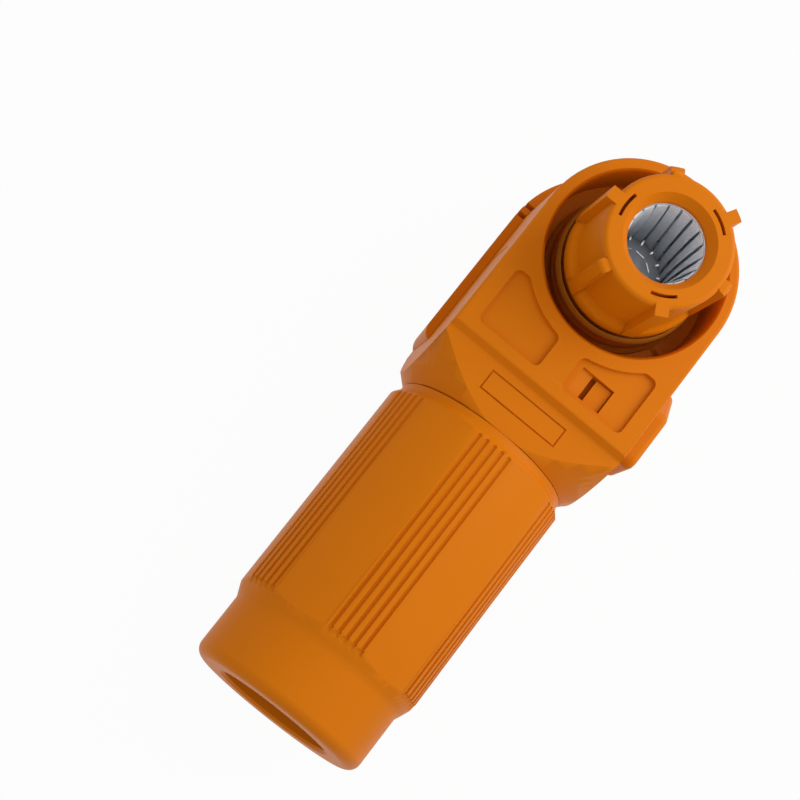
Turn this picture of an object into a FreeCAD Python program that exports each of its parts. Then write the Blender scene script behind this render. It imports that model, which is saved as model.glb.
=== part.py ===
import FreeCAD, Part

import math
import os

# Right-angle plug of a high-current storage connector, in millimetres.
# Z is the mating axis, Z = 0 the rear face, and the cable leaves along +X.

Vec = FreeCAD.Vector
ALONG_X = Vec(1, 0, 0)
ALONG_Y = Vec(0, 1, 0)
ALONG_Z = Vec(0, 0, 1)

# Socket contact and lamella cage
pin_bore_r = 6.5
cage_wall = 0.75
cage_fit = 0.1
cage_length = 21.0
cage_ring = 1.45
blade_count = 18
blade_half = 8.2         # degrees
blade_wall = 0.3
blade_sag = 0.6
blade_twist = 24.0       # degrees over the whole blade
contact_wall = 0.95
contact_fit = 0.15
contact_collar = 1.5     # height and
contact_collar_rim = 1.3     # width of the collar at its foot

# Crown that carries the socket
crown_wall = 2.25
crown_rise = 17.0        # tip above the front face
crown_tip_round = 0.85
crown_base_rise = 0.6    # base cylinder above the front face
crown_flare = 2.6
crown_flare_bend = (0.35, 1.17)    # out from the crown, and up from its base
crown_base_height = 2.0
crown_undercut = 0.7     # below the base, where the seal sits
rib_height = 1.4
rib_width = 2.2
rib_count = 6
rib_proud = 0.25         # of the ribs, past the crown's base
rib_short = 0.4          # plain ribs end this far below the tip
rib_round = 0.8
funnel_spread = 1.2
funnel_depth = 1.7
lip_wall = 1.0
slit_width = 0.55
slit_depth = 2.4
slit_half = 14.0         # degrees
crown_flange_rim = 1.55
crown_flange = 1.3
interface_seal_wall = 0.65   # past the crown's base
interface_seal_height = 8.2

# Terminal, its screw and its insulation
palm_thick = 6.0
palm_half = 8.5
palm_gap = 0.3
blend_length = 2.6       # from palm to barrel
barrel_length = 24.5
crimp_r = 7.3
crimp_wall = 1.7
crimp_depth = 23.5
sight_hole_r = 1.4
sight_hole_x = 2.5       # from the bottom of the crimp bore
screw_r = 4.0
screw_fit = 0.1
screw_end_gap = 0.3
screw_edge = 0.5
screw_lead = 0.8
screw_head_r = 6.5
screw_head = 8.0
screw_reach = 5.8        # above the palm, into the contact's blind hole
hex_flat = 6.0
hex_depth = 4.0
washer_thick = 1.8
washer_r = 6.4
washer_split = 1.6
sleeve_wall = 0.9
sleeve_fit = 0.1
bush_wall = 3.0
bush_fit = 0.1
bush_flutes = 6
bush_flute_r = 1.2
bush_flute_out = 0.3     # centres of the flutes, past the bush

# Body
mating_gap = 3.5         # between the crown's base and the mating opening
shroud_wall = 1.3
body_wall = 2.25         # from the mating opening to the outside
front_rise = 17.0        # front face above the cable axis
body_reach = 19.2        # from the mating opening's wall to the nut
shroud_chamfer = 0.5
floor_wall = 1.3         # floor of the mating opening
chamber_rim = 0.4        # terminal's room past the crown's flange
tunnel_wall = 1.0
collar_wall = 1.1
cone_land = 0.15         # straight end of the body, after its 45 degree cone
step_back = 8.55         # foot of the step in the front face, before the nut
step_drop = 1.3
step_run = 1.1
edge_round = 0.6
frame_back = 1.4         # bare engraved frame on the step
frame_length = 3.7
frame_half = 7.6
frame_line = 0.28

# Two shallow recesses in the front face
recess_depth = 0.8
recess_back = 3.0        # before the foot of the step
recess_length = 11.0
recess_y0 = 2.35
recess_edge = 3.0        # from the side of the body
recess_arc_gap = 1.35
recess_corner = 1.15

# Neck and clamping nut
neck_wall = 1.8
neck_length = 24.15
neck_root_step = 0.5
neck_root_length = 3.45
neck_chamfer = 0.5
key_count = 4
key_width = 3.6
nut_gap = 0.15           # between nut and body when tight
nut_length = 55.2
nut_wall = 3.0
nut_swell = 0.2          # growth of the crest towards the far end
nut_lip_length = 1.0
nut_lead_length = 1.6
nut_crest_end = 40.7     # from the nut's near face
nut_tail_start = 44.25
nut_tail_wall = 5.7
nut_tail_round = 2.0
thread_clearance = 0.3
counterbore_step = 0.7
counterbore_length = 3.8
exit_r = 10.3            # largest cable
exit_length = 15.2
exit_chamfer = 0.5
group_count = 6
groove_count = 5
groove_step = 5.0        # degrees
groove_r = 0.36
groove_start = 2.8
groove_end = 42.8
groove_sink = 0.15       # of the grooves' far end under the crest
panel_span = 35.0        # degrees
panel_r = 30.0           # curvature of the flattened panels
panel_depth = 0.36
bench_gap = 0.5          # under the nut

# Seals and cable clamp
seal_gap = 0.4
seal_length = 8.6
seal_wall = 2.3
seal_lip = 0.7
seal_fit = 0.1
washer_length = 1.5
claw_wall = 1.7
claw_clearance = 0.3
claw_flange = 1.25
claw_slots = 8
claw_slot_width = 1.3
claw_taper = 0.3         # radius lost per millimetre
claw_tip_gap = 0.1       # from the nut's cone
claw_finger = 1.9        # thickness of a finger at its hinge
claw_pad = 5.5           # grip at the end of a finger
claw_hinge = 0.8
claw_key_gap = 0.6       # under the nut's thread
o_ring_wire = 0.7
o_ring_back = 0.3        # from the thread
o_ring_sides = 8
gasket_wire = 1.0
gasket_gap = 0.9

# Lock slide, button and springs
travel = 2.2
slide_gap = 0.2
slide_drop = 0.3         # under the cable axis
slide_top_wall = 2.0     # front face over the slide
slide_back = 1.0         # before the foot of the step
slide_length = 17.2
spring_room = 1.5        # wall beyond the springs
foot_short = 2.0
foot_length = 4.05
foot_height = 9.1
tooth_bite = 0.6
tooth_height = 2.5
tooth_rise = 3.5         # above the floor of the mating opening
tooth_from = -53.0
tooth_to = -42.0
tooth_slot_from = -60.0
tooth_slot_to = -39.0
block_back = 0.95        # before the end of the recess
block_length = 4.25
block_y0 = 6.75
block_y1 = 9.8
block_rise = 0.6
mark_width = 1.75        # pocket beside the block
mark_depth = 1.2
window_ramp_y = 3.6
window_ramp_step = 0.45   # drop at the ramp's head
window_y = 5.8
window_gap = 0.15
spring_hole_r = 1.4
spring_hole_end = -4.0
spring_back = (7.1, 2.3)     # before the slide's end
spring_below_top = 1.8
spring_wire = 0.42
spring_turns = 6
flush_gap = 0.05
button_plate = 1.65
button_rise = 2.85
button_length = 16.6
button_height = 13.0
button_low = 0.3
button_slope = 6.2
button_slope_drop = 8.0
button_round = 1.0
peg_r = 1.0
peg_length = 1.7
peg_inset = 3.0
peg_fit = 0.05

# Rear cover
cover_wall = 1.5
cover_height = 14.7
cover_front = 0.3        # before the foot of the step
cover_fit = 0.05
cover_skirt = 1.5        # at the rim
cover_taper = 0.75
cover_corner = 3.0
cover_round = 1.4
notch_width = 0.9
notch_depth = 3.0
notch_x = (-3.0, -1.0)
bead_height = 0.3
bead_z = 10.5
bead_x0 = 4.0
bead_x1 = 22.0
well_wall = 1.6
well_fit = 0.5

# Radii that follow, from the pin and the cable outwards
chamber_cage_r = pin_bore_r + cage_wall + cage_fit
contact_r = chamber_cage_r + contact_wall
contact_collar_r = contact_r + contact_collar_rim
crown_r = contact_r + contact_fit + crown_wall
slit_r = contact_r + contact_fit + 0.1
funnel_r = pin_bore_r + funnel_spread
rib_r = crown_r + rib_height
crown_base_r = rib_r - rib_proud
crown_foot_r = crown_base_r - crown_undercut
crown_flange_r = crown_base_r + crown_flange_rim
interface_seal_r = crown_base_r + interface_seal_wall
floor_hole_r = rib_r + 0.15
shroud_r = crown_base_r + mating_gap
shroud_out_r = shroud_r + shroud_wall
body_r = shroud_r + body_wall
chamber_r = crown_flange_r + chamber_rim
barrel_r = crimp_r + crimp_wall
tunnel_r = barrel_r + sleeve_wall + 2 * sleeve_fit
tunnel_out_r = tunnel_r + tunnel_wall
neck_bore_r = barrel_r + sleeve_fit + bush_wall + bush_fit
neck_r = neck_bore_r + neck_wall
neck_root_r = neck_r - neck_root_step
nut_bore_r = neck_r + thread_clearance
nut_counterbore_r = nut_bore_r + counterbore_step
collar_r = nut_counterbore_r + collar_wall
nut_r = nut_bore_r + nut_wall
nut_far_r = nut_r + nut_swell
nut_tail_r = exit_r + nut_tail_wall
seal_bore_r = neck_bore_r - seal_fit - seal_wall
claw_bore_r = neck_bore_r - claw_clearance - claw_wall

# Heights and places that follow
cable_z = nut_far_r + bench_gap
front_z = cable_z + front_rise
palm_top = cable_z + palm_thick / 2
palm_low = cable_z - palm_thick / 2
flange_low = palm_top + palm_gap
flange_top = flange_low + crown_flange
floor_low = flange_top + 0.1
floor_z = floor_low + floor_wall
crown_z = front_z + crown_rise
lip_z = crown_z - funnel_depth
lip_low = lip_z - lip_wall
contact_top = lip_low - 0.1
cage_top = contact_top
cage_low = cage_top - cage_length
cage_seat = cage_low - cage_fit
collar_x = shroud_out_r + body_reach
step_x = collar_x - step_back
frame_x = step_x + frame_back
recess_x1 = step_x - recess_back
recess_x0 = recess_x1 - recess_length
recess_y1 = body_r - recess_edge
recess_arc_r = shroud_out_r + recess_arc_gap
recess_z = front_z - recess_depth
tunnel_end_x = collar_x + 0.15
neck_end_x = collar_x + neck_length
nut_x = collar_x + nut_gap
nut_end_x = nut_x + nut_length
palm_end_x = shroud_out_r + 0.25
barrel_x = palm_end_x + blend_length
barrel_end_x = barrel_x + barrel_length
seal_x0 = barrel_end_x + seal_gap
seal_x1 = seal_x0 + seal_length
claw_x0 = seal_x1 + washer_length + 0.1
claw_flange_x = neck_end_x + 0.25
claw_out_r = nut_bore_r - 0.6
exit_x = nut_end_x - exit_length
claw_end_x = exit_x - 0.7
nut_cone_r = exit_r + 1.0
nut_cone_x = exit_x - (nut_bore_r - nut_cone_r) / claw_taper
slide_x1 = step_x - slide_back
slide_x0 = slide_x1 - slide_length
foot_x1 = slide_x1 - foot_short
slide_left_y = foot_length + flush_gap - body_r
slide_right_y = body_r - flush_gap - button_plate
slide_z0 = cable_z - slide_drop
slide_z1 = front_z - slide_top_wall - slide_gap
cavity_z0 = slide_z0 - slide_gap
cavity_z1 = slide_z1 + slide_gap
cavity_left_y = -body_r + spring_room
slide_clear_r = shroud_out_r + slide_gap
arch_r = tunnel_out_r + 0.3
tooth_r = shroud_r - tooth_bite
tooth_z = floor_z + tooth_rise
block_x1 = recess_x1 - block_back
block_x0 = block_x1 - block_length
channel_z = slide_z1 + block_rise + slide_gap
spring_z = slide_z1 - spring_below_top
spring_places = [slide_x1 - back for back in spring_back]
button_x1 = slide_x1 - 0.1
button_x0 = button_x1 - button_length
screw_head_z = palm_low - washer_thick
screw_hole_z = palm_top + screw_reach + screw_end_gap
cover_x = step_x - cover_front


def box(x0, x1, y0, y1, z0, z1):
    return Part.makeBox(x1 - x0, y1 - y0, z1 - z0, Vec(x0, y0, z0))


def disc(r, z0, z1, y=0.0):
    """Cylinder about the mating axis."""
    return Part.makeCylinder(r, z1 - z0, Vec(0, y, z0), ALONG_Z)


def rod(r, x0, x1, y=0.0):
    """Cylinder about the cable axis."""
    return Part.makeCylinder(r, x1 - x0, Vec(x0, y, cable_z), ALONG_X)


def prism(points, way):
    """Straight prism on a closed outline, drawn through its corners."""
    return Part.Face(Part.makePolygon(points + points[:1])).extrude(way)


def turned(points):
    """Solid of revolution about the mating axis, from (radius, z) corners."""
    outline = [Vec(r, 0, z) for r, z in points]
    face = Part.Face(Part.makePolygon(outline + outline[:1]))
    return face.revolve(Vec(0, 0, 0), ALONG_Z, 360)


def turned_on_cable(points):
    """Solid of revolution about the cable axis, from (x, radius) corners."""
    outline = [Vec(x, 0, cable_z + r) for x, r in points]
    face = Part.Face(Part.makePolygon(outline + outline[:1]))
    return face.revolve(Vec(0, 0, cable_z), ALONG_X, 360)


def sector(r0, r1, z0, z1, start, end):
    """Part of a ring about the mating axis, between two angles."""
    outer = Part.makeCylinder(r1, z1 - z0, Vec(0, 0, z0), ALONG_Z, end - start)
    inner = disc(r0, z0, z1)
    outer.rotate(Vec(0, 0, 0), ALONG_Z, start)
    return outer.cut(inner)


def around(shape, angle, centre, axis):
    copy = shape.copy()
    copy.rotate(centre, axis, angle)
    return copy


def ring_of(shape, angles, on_cable=False):
    """Copies of a shape at the given angles about one of the two axes."""
    centre = Vec(0, 0, cable_z) if on_cable else Vec(0, 0, 0)
    axis = ALONG_X if on_cable else ALONG_Z
    return [around(shape, angle, centre, axis) for angle in angles]


def joined(shapes):
    return shapes[0].multiFuse(shapes[1:]).removeSplitter()


def fillet(shape, radius, wanted):
    """Rounds the edges for which wanted(bounding box) is true."""
    edges = [edge for edge in shape.Edges if wanted(edge.BoundBox)]
    return shape.makeFillet(radius, edges)


def body_prism(r, x1, z0, z1):
    """Upright prism with a round end about the mating axis."""
    return disc(r, z0, z1).fuse(box(0, x1, -r, r, z0, z1)).removeSplitter()


def capsule(make, r, low, high):
    """The space that a cylinder fills while it moves sideways by the travel."""
    first = make(r, low, high, 0.0)
    last = make(r, low, high, travel)
    if make is disc:
        middle = box(-r, r, 0, travel, low, high)
    else:
        middle = box(low, high, 0, travel, cable_z - r, cable_z + r)
    return joined([first, middle, last])


def outer_body():
    shape = body_prism(body_r, collar_x + 1, cover_wall, front_z)
    low = front_z - step_drop
    step = prism([Vec(step_x - step_run, -body_r - 1, front_z),
                  Vec(step_x, -body_r - 1, low),
                  Vec(collar_x + 2, -body_r - 1, low),
                  Vec(collar_x + 2, -body_r - 1, front_z + 1),
                  Vec(step_x - step_run, -body_r - 1, front_z + 1)],
                 ALONG_Y * (2 * body_r + 2))
    shape = shape.cut(step)
    shape = fillet(shape, edge_round, lambda b: b.ZMin > low - 0.01
                   and b.XMax < step_x + 0.01 and (b.YLength > body_r or b.XLength > step_x / 2))
    far = collar_x + body_r + 2
    cone = turned_on_cable([(collar_x - far, 0),
                            (collar_x - far, collar_r + far - cone_land),
                            (collar_x - cone_land, collar_r),
                            (collar_x, collar_r),
                            (collar_x, 0)])
    return shape.common(cone)


def neck():
    end = neck_end_x
    root = collar_x + neck_root_length
    shape = turned_on_cable([(collar_x - 1, 0), (collar_x - 1, neck_root_r), (root, neck_root_r),
                             (root, neck_r), (end - neck_chamfer, neck_r),
                             (end, neck_r - neck_chamfer), (end, 0)])
    return shape


def key_slots():
    """Slots in the end of the neck, which keep the claw from turning."""
    half = key_width / 2 + slide_gap
    slot = box(claw_x0 - 0.1, neck_end_x + 1, -half, half, cable_z + neck_bore_r - 1,
               cable_z + neck_r + 1)
    return ring_of(slot, [45 + 360 / key_count * n for n in range(key_count)], True)


def slide_cavity():
    room = box(slide_x0 - slide_gap, slide_x1 + slide_gap, cavity_left_y, body_r + 1,
               cavity_z0, cavity_z1)
    foot = box(slide_x0 - slide_gap, foot_x1 + slide_gap, -body_r - 1, cavity_left_y,
               cavity_z0, slide_z0 + foot_height + slide_gap)
    channel = box(block_x0 - window_gap, block_x1 + window_gap, block_y0 - travel - 0.6,
                  block_y1 + window_gap, slide_z1, channel_z)
    room = joined([room, foot, channel])
    return room.cut(disc(shroud_out_r, 0, front_z + 1)).cut(rod(tunnel_out_r, 0, collar_x))


def tooth_slot():
    """Slot in the wall of the mating opening, and room behind it for the tooth's stroke."""
    z0 = tooth_z - slide_gap
    z1 = tooth_z + tooth_height + slide_gap
    slot = sector(shroud_r - 1, slide_clear_r + 0.1, z0, z1, tooth_slot_from, tooth_slot_to)
    low_x = tooth_r * math.cos(math.radians(tooth_from)) - slide_gap
    room = box(low_x, slide_x0, cavity_left_y, -low_x, z0, z1).cut(disc(shroud_out_r, 0, front_z))
    return slot.fuse(room)


def recess(side):
    shape = box(recess_x0, recess_x1, recess_y0, recess_y1, recess_z, front_z + 1)
    shape = shape.cut(disc(recess_arc_r, 0, front_z + 2))
    shape = fillet(shape, recess_corner, lambda b: b.XLength < 0.01 and b.YLength < 0.01)
    return shape if side > 0 else shape.mirror(Vec(0, 0, 0), ALONG_Y)


def window():
    """Opening over the slide's mark, with a ramp on one side."""
    x0 = block_x0 - window_gap
    x1 = block_x1 + window_gap
    hole = box(x0, x1, window_y, block_y1 + window_gap, slide_z1, front_z)
    ramp = prism([Vec(x0, window_ramp_y, front_z), Vec(x0, window_y, front_z),
                  Vec(x0, window_y, channel_z),
                  Vec(x0, window_ramp_y, recess_z - window_ramp_step)], ALONG_X * (x1 - x0))
    return hole.fuse(ramp)


def engraved_frame():
    outer = box(frame_x, frame_x + frame_length, -frame_half, frame_half,
                front_z - step_drop - frame_line, front_z)
    inner = box(frame_x + frame_line, frame_x + frame_length - frame_line,
                frame_line - frame_half, frame_half - frame_line,
                front_z - step_drop - 1, front_z + 1)
    return outer.cut(inner)


def gasket_track(gap):
    """Ring in the rear face of the body, round the terminal's room."""
    r0 = chamber_r + gasket_gap - gap
    r1 = chamber_r + gasket_gap + gasket_wire + gap
    return disc(r1, cover_wall, cover_wall + gasket_wire - 0.02 + gap).cut(
        disc(r0, 0, cover_wall + gasket_wire + 1))


def snap_track(side, gap):
    """Bead along the cover's skirt, or with a gap the groove that it snaps into."""
    face = body_r + cover_fit
    tip = face - bead_height - gap
    rise = bead_height + gap
    points = [Vec(bead_x0 - gap, face, bead_z - rise), Vec(bead_x0 - gap, tip, bead_z),
              Vec(bead_x0 - gap, face, bead_z + rise)]
    shape = prism(points, ALONG_X * (bead_x1 - bead_x0 + 2 * gap))
    return shape if side > 0 else shape.mirror(Vec(0, 0, 0), ALONG_Y)


def make_housing():
    shape = outer_body().fuse(neck())
    mouth = turned([(0, floor_z), (shroud_r, floor_z), (shroud_r, front_z - shroud_chamfer),
                    (shroud_r + shroud_chamfer, front_z),
                    (shroud_r + shroud_chamfer, front_z + 1), (0, front_z + 1)])
    tunnel = rod(tunnel_r, 0, tunnel_end_x + 1).cut(disc(shroud_out_r, floor_low, front_z))
    bore = rod(neck_bore_r, tunnel_end_x, neck_end_x + 1)
    room = disc(chamber_r, cover_wall - 1, floor_low)
    shape = shape.cut([mouth, disc(floor_hole_r, floor_low - 1, floor_z + 1), room, tunnel, bore])
    shape = shape.cut(slide_cavity()).cut(tooth_slot())
    shape = shape.cut([recess(1), recess(-1)]).cut(window()).cut(engraved_frame())
    shape = shape.cut(gasket_track(0.02)).cut([snap_track(1, 0.1), snap_track(-1, 0.1)])
    return shape.cut(key_slots())


def make_rear_cover():
    """Shallow tray that closes the terminal's room and wraps the body's rear."""
    def outline(r, z):
        corner = cover_corner
        bend = corner * (1 - math.sqrt(0.5))
        edges = [Part.Arc(Vec(0, r, z), Vec(-r, 0, z), Vec(0, -r, z)).toShape(),
                 Part.LineSegment(Vec(0, -r, z), Vec(cover_x - corner, -r, z)).toShape(),
                 Part.Arc(Vec(cover_x - corner, -r, z), Vec(cover_x - bend, -r + bend, z),
                          Vec(cover_x, -r + corner, z)).toShape(),
                 Part.LineSegment(Vec(cover_x, -r + corner, z),
                                  Vec(cover_x, r - corner, z)).toShape(),
                 Part.Arc(Vec(cover_x, r - corner, z), Vec(cover_x - bend, r - bend, z),
                          Vec(cover_x - corner, r, z)).toShape(),
                 Part.LineSegment(Vec(cover_x - corner, r, z), Vec(0, r, z)).toShape()]
        return Part.Wire(edges)

    rim_r = body_r + cover_fit + cover_skirt
    shape = Part.makeLoft([outline(rim_r - cover_taper, 0), outline(rim_r, cover_height)],
                          True, True)
    shape = fillet(shape, cover_round, lambda b: b.ZMax < 0.01)
    shape = shape.cut(body_prism(body_r + cover_fit, cover_x + 5, cover_wall, cover_height + 1))
    for x in notch_x:
        shape = shape.cut(box(x - notch_width / 2, x + notch_width / 2, -rim_r - 1, rim_r + 1,
                              cover_height - notch_depth, cover_height + 1))
    well_r = screw_head_r + well_fit
    well = disc(well_r + well_wall, cover_wall - 0.5, palm_low - 0.2)
    shape = joined([shape, well, snap_track(1, 0), snap_track(-1, 0)])
    return shape.cut(disc(well_r, cover_wall, palm_low))


def make_cover_gasket():
    return gasket_track(0)


def make_crown_insulator():
    base_z = front_z + crown_base_rise
    shape = turned([(0, flange_low), (crown_flange_r, flange_low), (crown_flange_r, flange_top),
                    (crown_base_r, flange_top), (crown_base_r, floor_z),
                    (crown_foot_r, floor_z), (crown_foot_r, base_z - crown_base_height),
                    (crown_base_r, base_z - crown_base_height), (crown_base_r, base_z),
                    (crown_r + crown_flare_bend[0], base_z + crown_flare_bend[1]),
                    (crown_r, base_z + crown_flare), (crown_r, crown_z), (0, crown_z)])
    shape = fillet(shape, crown_tip_round, lambda b: b.ZMin > crown_z - 0.01)
    ribs = []
    for n in range(rib_count):
        tab = n % 2 == 0
        top = crown_z if tab else crown_z - rib_short
        rib = box(slit_r + slit_width, rib_r, -rib_width / 2, rib_width / 2, base_z - 1, top)
        rib = rib.common(disc(rib_r, 0, crown_z + 1))
        if not tab:
            rib = fillet(rib, rib_round, lambda b: b.ZMin > top - 0.01
                         and b.XMin > crown_r + 0.5 and b.YLength > 1)
        ribs.append(around(rib, 30 + 360 / rib_count * n, Vec(0, 0, 0), ALONG_Z))
    shape = joined([shape] + ribs)
    inner = turned([(0, flange_low - 1), (contact_collar_r + 0.1, flange_low - 1),
                    (contact_collar_r + 0.1, palm_top + contact_collar + 0.05),
                    (contact_r + contact_fit, palm_top + contact_collar + 0.05),
                    (contact_r + contact_fit, lip_low), (pin_bore_r, lip_low),
                    (pin_bore_r, lip_z), (funnel_r, crown_z), (funnel_r, crown_z + 1),
                    (0, crown_z + 1)])
    shape = shape.cut(inner)
    slit = sector(slit_r, slit_r + slit_width, crown_z - slit_depth, crown_z + 1,
                  -slit_half, slit_half)
    return shape.cut(ring_of(slit, [30, 150, 270]))


def make_interface_seal():
    """Rubber ring with a foot, two lips and a groove behind the upper one."""
    r0 = crown_foot_r + seal_fit / 2
    lip = interface_seal_r
    wall = lip - r0
    web = lip - 0.35 * wall
    groove = lip - 0.4 * wall
    foot = lip + 0.4 * wall
    part = interface_seal_height / 7
    heights = [floor_z + part * n for n in range(8)]
    return turned([(r0, heights[0]), (foot, heights[0]), (foot, heights[1]), (web, heights[2]),
                   (web, heights[3] - part / 2), (lip, heights[3]), (web, heights[4]),
                   (web, heights[5]), (lip, heights[6] - part / 2), (lip, heights[6]),
                   (web, heights[7]), (groove, heights[7]), (groove, heights[5]),
                   (r0, heights[5])])


def make_socket_contact():
    return turned([(screw_r + screw_fit, palm_top), (contact_collar_r, palm_top),
                   (contact_collar_r, palm_top + contact_collar),
                   (contact_r, palm_top + contact_collar),
                   (contact_r, contact_top - 0.4), (contact_r - 0.4, contact_top),
                   (chamber_cage_r, contact_top), (chamber_cage_r, cage_seat),
                   (0, cage_seat), (0, screw_hole_z), (screw_r + screw_fit, screw_hole_z)])


def blade(middle):
    """One twisted spring blade, bowed in towards the pin."""
    sections = []
    low = cage_low + cage_ring - 0.3
    height = cage_length - 2 * cage_ring + 0.6
    for share in (0.0, 0.5, 1.0):
        z = low + share * height
        r = pin_bore_r + 0.15 - blade_sag * 4 * share * (1 - share)
        angle = middle - blade_twist * (1 - share)
        corners = []
        for radius in (r, r + blade_wall):
            corners.append([Vec(radius * math.cos(math.radians(angle + turn)),
                                radius * math.sin(math.radians(angle + turn)), z)
                            for turn in (-blade_half, 0, blade_half)])
        inner, outer = corners
        sections.append(Part.Wire([Part.Arc(*inner).toShape(),
                                   Part.LineSegment(inner[2], outer[2]).toShape(),
                                   Part.Arc(*outer[::-1]).toShape(),
                                   Part.LineSegment(outer[0], inner[0]).toShape()]))
    return Part.makeLoft(sections, True, False)


def make_lamella_cage():
    r1 = pin_bore_r + cage_wall
    rings = [disc(r1, z, z + cage_ring).cut(disc(pin_bore_r, z - 1, z + cage_ring + 1))
             for z in (cage_low, cage_top - cage_ring)]
    blades = [blade(360 / blade_count * n) for n in range(blade_count)]
    return rings[0].multiFuse(rings[1:] + blades)


def make_crimp_terminal():
    palm = disc(palm_half, palm_low, palm_top).fuse(
        box(0, palm_end_x + 0.2, -palm_half, palm_half, palm_low, palm_top))
    corners = [Vec(palm_end_x, y, z) for y, z in ((-palm_half, palm_low), (palm_half, palm_low),
                                                  (palm_half, palm_top), (-palm_half, palm_top))]
    square = Part.makePolygon(corners + corners[:1])
    round_end = Part.Wire(Part.makeCircle(barrel_r, Vec(barrel_x, 0, cable_z), ALONG_X))
    blend = Part.makeLoft([square, round_end], True, True)
    shape = joined([palm, blend, rod(barrel_r, barrel_x, barrel_end_x)])
    shape = shape.cut(rod(crimp_r, barrel_end_x - crimp_depth, barrel_end_x + 1))
    sight = Part.makeCylinder(sight_hole_r, barrel_r + 1,
                              Vec(barrel_end_x - crimp_depth + sight_hole_x, 0, cable_z), -ALONG_Z)
    return shape.cut([disc(screw_r + screw_fit, palm_low - 1, palm_top + 1), sight])


def make_terminal_screw():
    low = screw_head_z - screw_head
    top = palm_top + screw_reach
    shape = turned([(0, low), (screw_head_r - screw_edge, low), (screw_head_r, low + screw_edge),
                    (screw_head_r, screw_head_z), (screw_r, screw_head_z),
                    (screw_r, top - screw_lead), (screw_r - screw_lead, top), (0, top)])
    corner = hex_flat / 2 / math.cos(math.radians(30))
    points = [Vec(corner * math.cos(math.radians(60 * n)), corner * math.sin(math.radians(60 * n)),
                  low - 1) for n in range(6)]
    return shape.cut(prism(points, ALONG_Z * (hex_depth + 1)))


def make_spring_washer():
    ring = disc(washer_r, screw_head_z, palm_low).cut(disc(screw_r + screw_fit, 0, palm_top))
    return ring.cut(box(0, washer_r + 1, -washer_split / 2, washer_split / 2, 0, palm_low + 1))


def make_barrel_sleeve():
    x1 = tunnel_end_x - 0.1
    return rod(tunnel_r - sleeve_fit, barrel_x + 0.2, x1).cut(
        rod(barrel_r + sleeve_fit, barrel_x, x1 + 1))


def make_barrel_bush():
    x0 = tunnel_end_x + 0.1
    x1 = barrel_end_x - 0.5
    r = neck_bore_r - bush_fit
    shape = rod(r, x0, x1)
    centre = Vec(x0 - 1, 0, cable_z + r + bush_flute_out)
    flutes = ring_of(Part.makeCylinder(bush_flute_r, x1 - x0 + 2, centre, ALONG_X),
                     [360 / bush_flutes * n for n in range(bush_flutes)], True)
    return shape.cut(rod(barrel_r + sleeve_fit, x0 - 1, x1 + 1)).cut(flutes)


def make_cable_seal():
    """Rubber bush with three lips outside and three inside."""
    outer = neck_bore_r - seal_fit
    steps = 3
    pitch = seal_length / steps
    crests = []
    roots = []
    for n in range(steps):
        x = seal_x0 + n * pitch
        crests += [(x, outer - seal_lip), (x + 0.3 * pitch, outer), (x + 0.7 * pitch, outer),
                   (x + pitch, outer - seal_lip)]
        roots += [(x, seal_bore_r + seal_lip), (x + 0.4 * pitch, seal_bore_r),
                  (x + 0.6 * pitch, seal_bore_r), (x + pitch, seal_bore_r + seal_lip)]
    keep = [roots[0]] + [p for n, p in enumerate(roots[1:], 1) if p != roots[n - 1]]
    top = [crests[0]] + [p for n, p in enumerate(crests[1:], 1) if p != crests[n - 1]]
    return turned_on_cable(top + keep[::-1])


def make_seal_washer():
    x0 = seal_x1 + 0.05
    return rod(neck_bore_r - seal_fit, x0, seal_x1 + washer_length).cut(
        rod(seal_bore_r, x0 - 1, seal_x1 + washer_length + 1))


def make_clamp_claw():
    """Keyed tube with a flange and a ring of tapered fingers that grip the cable."""
    tube_r = neck_bore_r - claw_clearance
    flange_end = claw_flange_x + claw_flange
    tip_r = nut_cone_r - claw_tip_gap
    taper_x = claw_end_x - (claw_out_r - tip_r) / claw_taper
    hinge_r = claw_out_r - claw_finger
    hinge_x = flange_end + claw_hinge
    shape = turned_on_cable([(claw_x0, claw_bore_r), (claw_x0, tube_r), (claw_flange_x, tube_r),
                             (claw_flange_x, claw_out_r), (taper_x, claw_out_r),
                             (claw_end_x, tip_r), (claw_end_x, claw_bore_r),
                             (claw_end_x - claw_pad, claw_bore_r), (taper_x, hinge_r),
                             (hinge_x, hinge_r), (flange_end, claw_bore_r)])
    key = box(claw_x0 + 0.2, claw_flange_x + 0.5, -key_width / 2, key_width / 2,
              cable_z + tube_r - 0.4, cable_z + neck_r - claw_key_gap)
    shape = joined([shape] + ring_of(key, [45 + 360 / key_count * n for n in range(key_count)],
                                     True))
    slot = box(hinge_x, claw_end_x + 1, -claw_slot_width / 2, claw_slot_width / 2,
               cable_z, cable_z + claw_out_r + 1)
    return shape.cut(ring_of(slot, [360 / claw_slots * n for n in range(claw_slots)], True))


def nut_outside():
    crest_x0 = nut_x + nut_lip_length + nut_lead_length
    crest_x1 = nut_x + nut_crest_end
    tail_x = nut_x + nut_tail_start
    shape = turned_on_cable([(nut_x, 0), (nut_x, collar_r), (nut_x + nut_lip_length, collar_r),
                             (crest_x0, nut_r), (crest_x1, nut_far_r), (tail_x, nut_tail_r),
                             (nut_end_x, nut_tail_r), (nut_end_x, 0)])
    return fillet(shape, nut_tail_round, lambda b: b.XMin > nut_end_x - 0.01)


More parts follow.
